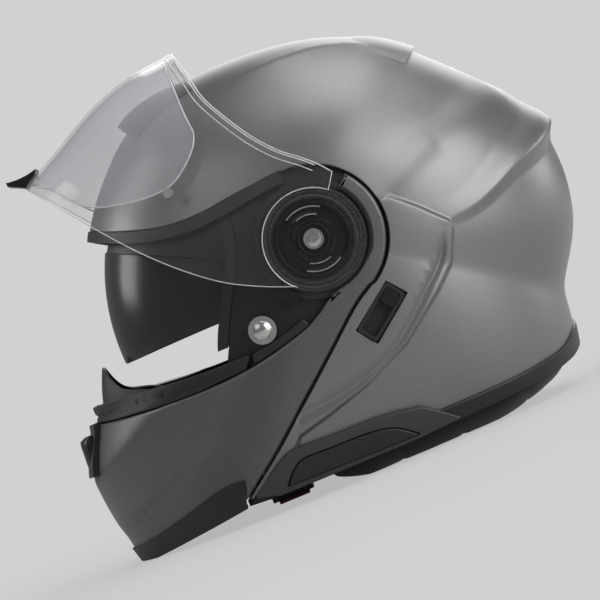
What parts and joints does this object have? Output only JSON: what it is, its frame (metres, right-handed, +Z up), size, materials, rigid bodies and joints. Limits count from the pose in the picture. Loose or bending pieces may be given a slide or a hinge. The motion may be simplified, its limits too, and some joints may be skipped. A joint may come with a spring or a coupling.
{
  "type": "modular motorcycle helmet",
  "caption": "Flip-up road helmet: painted shell and hinged chin bar, clear visor raised, inner smoked visor, vents, padded lining and chin strap with a quick-release buckle.",
  "frame": {"origin": "centre of the overall box's bottom face, on the floor the helmet stands on", "axes": "+Z up, front (chin bar) towards -X, rider's left towards -Y"},
  "size_m": [0.3513, 0.2558, 0.2885],
  "materials": {
    "grey_paint": "matte metallic",
    "charcoal_plastic": "matte",
    "black_plastic": "satin",
    "clear_polycarbonate": "clear",
    "smoke_polycarbonate": "smoked",
    "steel": "satin",
    "foam": "matte",
    "lining": "matte",
    "rubber": "matte",
    "webbing": "matte",
    "red_plastic": "satin"
  },
  "bodies": {
    "shell": {"outer_shell": "grey_paint", "impact_liner": "foam", "crown_pad": "lining", "cheek_pad_left": "lining", "cheek_pad_right": "lining", "neck_roll": "lining", "rear_trim": "charcoal_plastic", "comm_cover_frame_left": "charcoal_plastic", "comm_cover_frame_right": "charcoal_plastic", "comm_cover_left": "charcoal_plastic", "comm_cover_right": "charcoal_plastic", "side_plate_left": "black_plastic", "side_plate_right": "black_plastic", "latch_pin_left": "steel", "latch_pin_right": "steel", "hinge_screw_left": "steel", "hinge_screw_right": "steel", "eyeport_gasket": "rubber", "lever_bezel": "charcoal_plastic", "sun_visor_pivots": "black_plastic", "intake_hood": "grey_paint", "outlet_cover": "grey_paint", "chin_strap_left": "webbing", "chin_strap_right": "webbing", "strap_pad_left": "lining", "strap_pad_right": "lining", "buckle_body": "black_plastic", "ratchet_tongue": "black_plastic", "strap_anchor_left": "steel", "strap_anchor_right": "steel"},
    "chin_bar": {"chin_bar": "grey_paint", "chin_bar_liner": "foam", "chin_bar_gasket": "rubber", "chin_bar_bottom_trim": "charcoal_plastic", "chin_vent_housing": "black_plastic", "breath_guard": "rubber", "visor_base_plate_left": "black_plastic", "visor_base_plate_right": "black_plastic", "latch_rivet_left": "steel", "latch_rivet_right": "steel"},
    "visor": {"visor": "clear_polycarbonate", "anti_fog_insert": "clear_polycarbonate", "insert_pins": "black_plastic", "visor_tab": "black_plastic"},
    "sun_visor": {"sun_visor": "smoke_polycarbonate"},
    "sun_visor_lever": {"sun_visor_lever": "black_plastic"},
    "intake_shutter": {"intake_shutter": "black_plastic"},
    "outlet_shutter": {"outlet_shutter": "black_plastic"},
    "chin_vent_shutter": {"chin_vent_shutter": "black_plastic"},
    "release_button": {"release_button": "black_plastic"},
    "latch_hook_left": {"latch_hook_left": "steel"},
    "latch_hook_right": {"latch_hook_right": "steel"},
    "visor_release_tab_left": {"visor_release_tab_left": "black_plastic"},
    "visor_release_tab_right": {"visor_release_tab_right": "black_plastic"},
    "buckle_lever": {"buckle_lever": "red_plastic"}
  },
  "joints": [
    {"name": "chin_bar_hinge", "type": "hinge", "parent": "shell", "child": "chin_bar", "pos_m": [0.0096, 0, 0.1446], "axis": [0, 1, 0], "range_deg": [0, 56]},
    {"name": "visor_hinge", "type": "hinge", "parent": "chin_bar", "child": "visor", "pos_m": [0.0096, 0, 0.1446], "axis": [0, 1, 0], "range_deg": [-46, 0]},
    {"name": "sun_visor_hinge", "type": "hinge", "parent": "shell", "child": "sun_visor", "pos_m": [0.0116, 0, 0.126], "axis": [0, 1, 0], "range_deg": [0, 36]},
    {"name": "sun_visor_lever_slide", "type": "slide", "parent": "shell", "child": "sun_visor_lever", "axis": [-0.7987, 0, -0.6018], "range_m": [0, 0.02]},
    {"name": "intake_shutter_slide", "type": "slide", "parent": "shell", "child": "intake_shutter", "axis": [0, 1, 0], "range_m": [0, 0.018]},
    {"name": "outlet_shutter_slide", "type": "slide", "parent": "shell", "child": "outlet_shutter", "axis": [0, 1, 0], "range_m": [0, 0.018]},
    {"name": "chin_vent_shutter_slide", "type": "slide", "parent": "chin_bar", "child": "chin_vent_shutter", "axis": [0, 0, -1], "range_m": [0, 0.008]},
    {"name": "release_button_slide", "type": "slide", "parent": "chin_bar", "child": "release_button", "axis": [0, 0, 1], "range_m": [0, 0.003], "stiffness_N_per_m": 1500, "springref_m": -0.001},
    {"name": "latch_hook_left_hinge", "type": "hinge", "parent": "chin_bar", "child": "latch_hook_left", "pos_m": [-0.0649, -0.1101, 0.0759], "axis": [0.3537, 0.9351, -0.0211], "range_deg": [-1, 6]},
    {"name": "latch_hook_right_hinge", "type": "hinge", "parent": "chin_bar", "child": "latch_hook_right", "pos_m": [-0.0649, 0.1101, 0.0759], "axis": [-0.3537, 0.9351, 0.0211], "range_deg": [-1, 6]},
    {"name": "visor_release_tab_left_hinge", "type": "hinge", "parent": "chin_bar", "child": "visor_release_tab_left", "pos_m": [-0.01387, -0.1235, 0.11345], "axis": [0, 1, 0], "range_deg": [0, 2], "stiffness_Nm_per_rad": 0.6},
    {"name": "visor_release_tab_right_hinge", "type": "hinge", "parent": "chin_bar", "child": "visor_release_tab_right", "pos_m": [-0.01387, 0.1235, 0.11345], "axis": [0, 1, 0], "range_deg": [0, 2], "stiffness_Nm_per_rad": 0.6},
    {"name": "buckle_lever_hinge", "type": "hinge", "parent": "shell", "child": "buckle_lever", "pos_m": [-0.06152, -0.045, 0.0022], "axis": [-1, 0, 0], "range_deg": [0, 2], "stiffness_Nm_per_rad": 0.5}
  ],
  "couplings": [
    {"joint": "sun_visor_lever_slide", "follows": "sun_visor_hinge", "m_per_rad": 0.0318},
    {"joint": "latch_hook_left_hinge", "follows": "release_button_slide", "rad_per_m": 29.089},
    {"joint": "latch_hook_right_hinge", "follows": "release_button_slide", "rad_per_m": 29.089}
  ]
}
